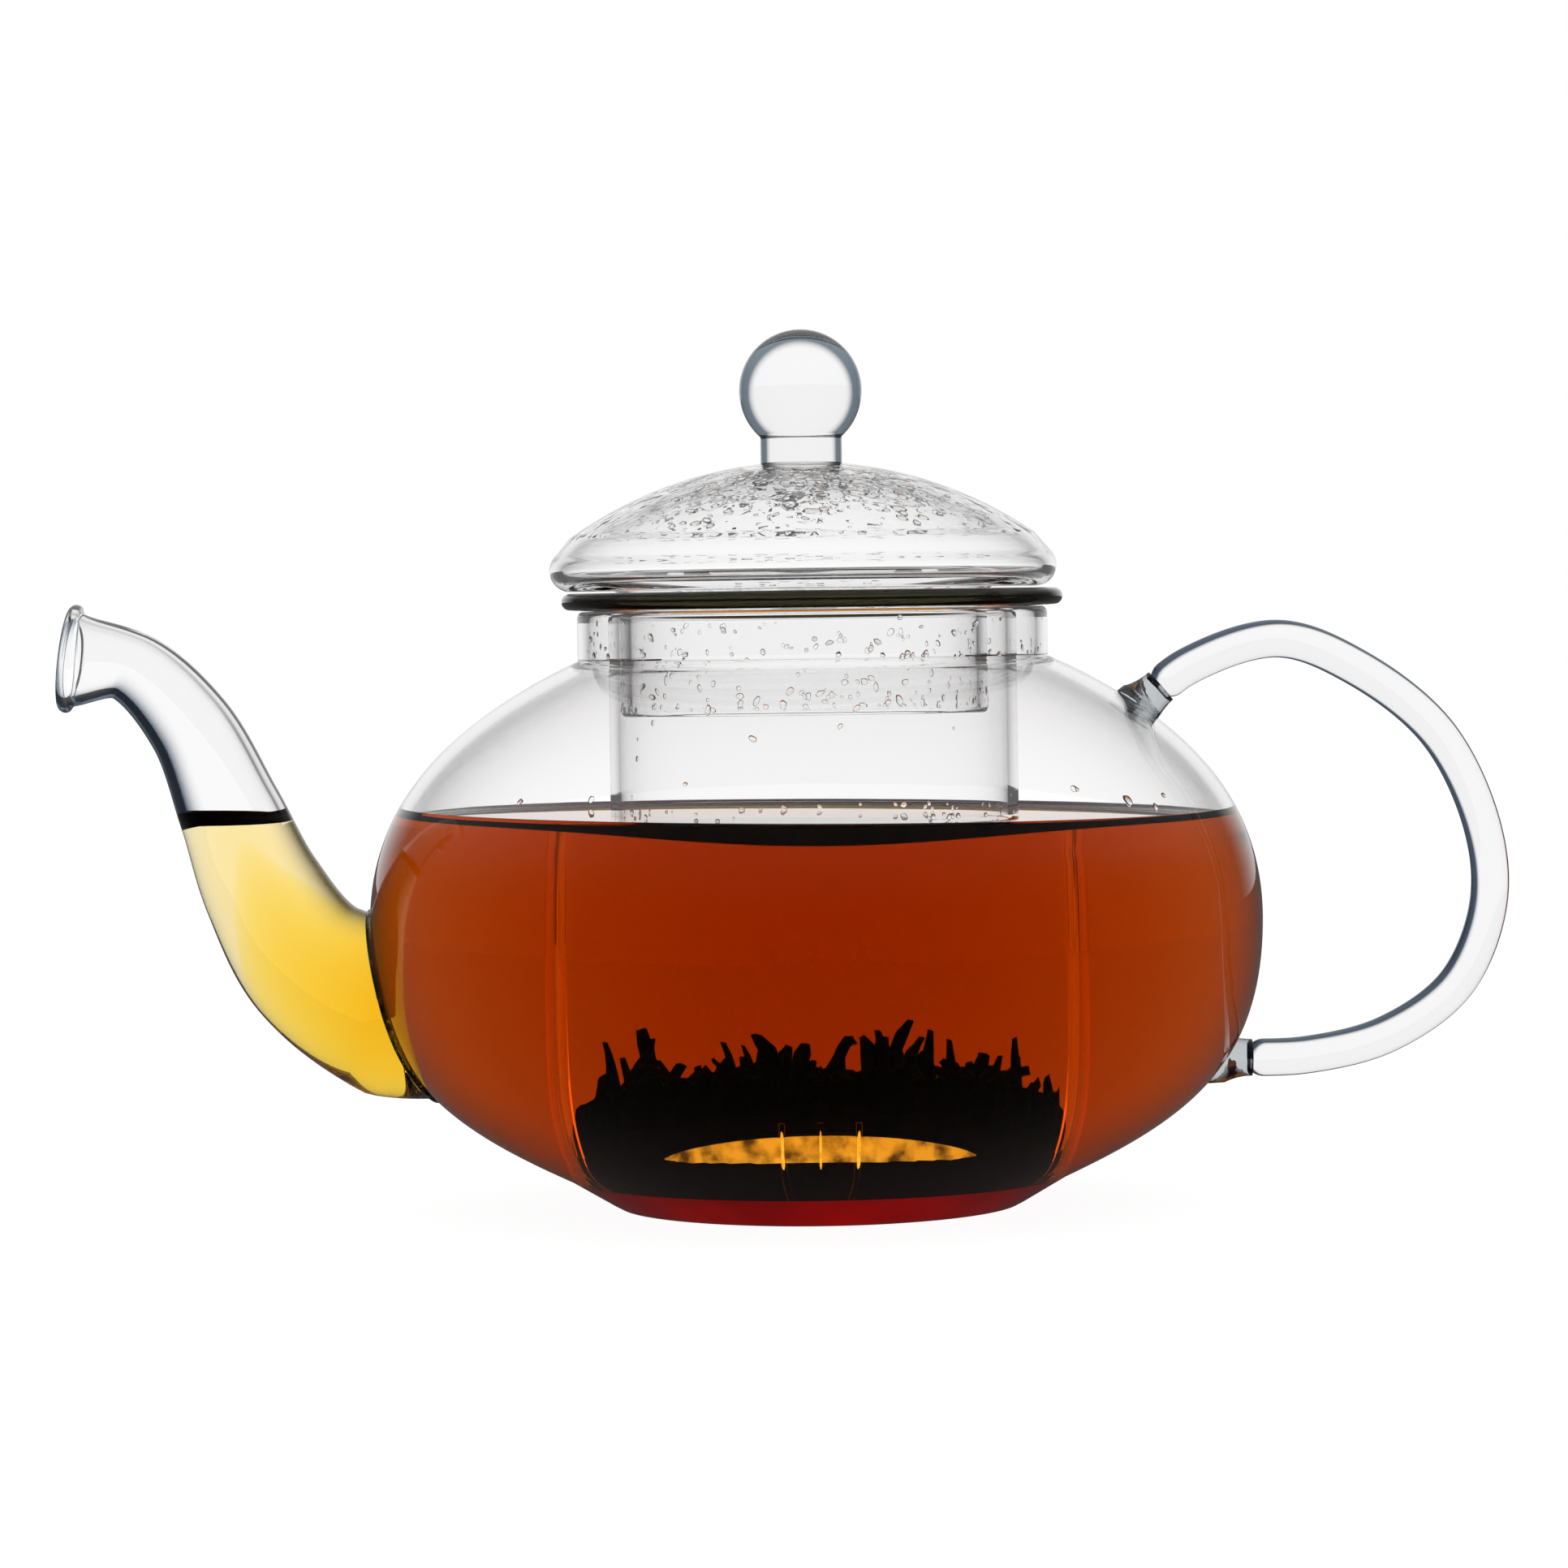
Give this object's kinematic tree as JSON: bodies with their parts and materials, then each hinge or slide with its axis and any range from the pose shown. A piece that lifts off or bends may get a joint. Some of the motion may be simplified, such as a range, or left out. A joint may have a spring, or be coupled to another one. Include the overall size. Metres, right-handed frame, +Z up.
{
  "type": "glass teapot",
  "caption": "Clear glass teapot with curved spout, loop handle, knobbed lid and lift-out slotted glass infuser, for brewing and pouring loose-leaf tea.",
  "frame": {"origin": "middle of the flat base that the pot stands on", "axes": "+Z up along the pot's axis, -X towards the spout, +X towards the handle"},
  "size_m": [0.2526, 0.1556, 0.1528],
  "materials": {
    "bowl_glass": "clear, fire polished",
    "fused_glass": "clear, thick fused bead",
    "infuser_glass": "clear, faintly drawn",
    "lid_glass": "clear, misted inside",
    "condensation": "water droplets",
    "brewed_tea": "clear amber liquid",
    "spout_tea": "clear golden liquid",
    "tea_leaves": "wet dark leaf"
  },
  "bodies": {
    "pot": {"pot_bowl": "bowl_glass", "spout": "bowl_glass", "spout_seam": "fused_glass", "handle": "bowl_glass", "handle_upper_weld": "fused_glass", "handle_lower_weld": "fused_glass"},
    "infuser": {"infuser_tube": "infuser_glass", "infuser_flange": "infuser_glass"},
    "lid": {"lid_dome": "lid_glass", "lid_collar": "lid_glass", "lid_knob": "lid_glass"}
  },
  "joints": [
    {"name": "infuser_lift", "type": "slide", "parent": "pot", "child": "infuser", "axis": [0, 0, 1], "range_m": [0, 0.115]},
    {"name": "lid_lift", "type": "slide", "parent": "infuser", "child": "lid", "axis": [0, 0, 1], "range_m": [0, 0.06]}
  ]
}
